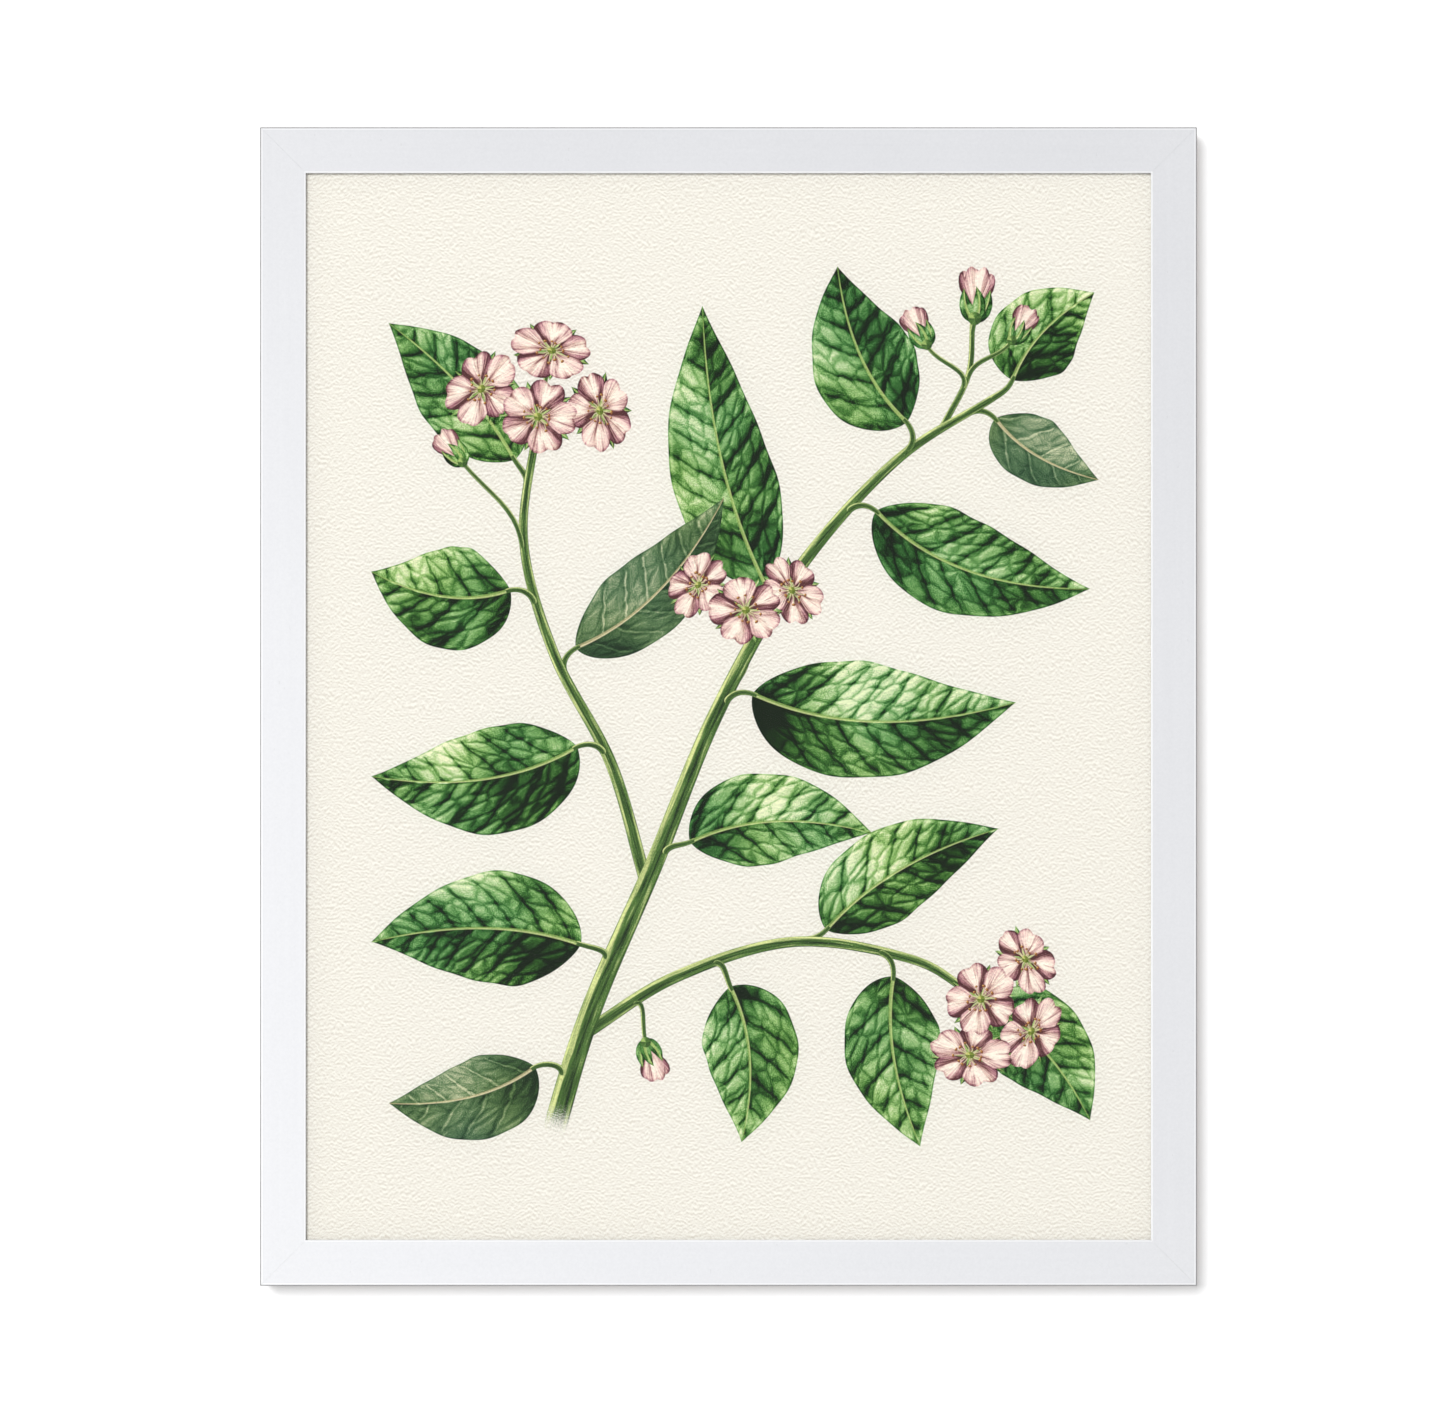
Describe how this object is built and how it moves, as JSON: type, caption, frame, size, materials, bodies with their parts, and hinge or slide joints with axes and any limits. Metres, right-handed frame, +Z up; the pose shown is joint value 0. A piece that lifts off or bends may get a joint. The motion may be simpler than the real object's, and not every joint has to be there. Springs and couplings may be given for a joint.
{
  "type": "framed botanical print",
  "caption": "Portrait wall picture: a flowering spray printed on textured cream paper, behind glass in a slim mitred white wooden frame that hangs on a wall nail.",
  "frame": {"origin": "the point of the wall plane over the middle notch of the sawtooth hanger, where the wall nail bears", "axes": "+X to the viewer's right, +Z up along the long side, +Y from the front of the picture into the wall"},
  "size_m": [0.4294, 0.025, 0.531],
  "materials": {
    "lacquered_wood": "white satin lacquer, grain filled",
    "glazing": "clear float glass",
    "print_paper": "matt cold-pressed art paper, printed",
    "fibreboard": "bare brown fibreboard",
    "zinc_steel": "zinc-plated",
    "brassed_steel": "brass-plated",
    "bumper_rubber": "translucent matt"
  },
  "bodies": {
    "root": {"rail_bottom": "lacquered_wood", "rail_left": "lacquered_wood", "rail_top": "lacquered_wood", "rail_right": "lacquered_wood", "glazing": "glazing", "print_sheet": "print_paper", "backing_board": "fibreboard", "corner_nail_bottom_left": "zinc_steel", "corner_nail_top_left": "zinc_steel", "corner_nail_top_right": "zinc_steel", "corner_nail_bottom_right": "zinc_steel", "point_bottom_1": "zinc_steel", "point_bottom_2": "zinc_steel", "point_left_1": "zinc_steel", "point_left_2": "zinc_steel", "point_left_3": "zinc_steel", "point_top_1": "zinc_steel", "point_top_2": "zinc_steel", "point_right_1": "zinc_steel", "point_right_2": "zinc_steel", "point_right_3": "zinc_steel", "sawtooth_hanger": "brassed_steel", "hanger_nail_left": "brassed_steel", "hanger_nail_right": "brassed_steel", "bumper_left": "bumper_rubber", "bumper_right": "bumper_rubber"}
  },
  "joints": []
}
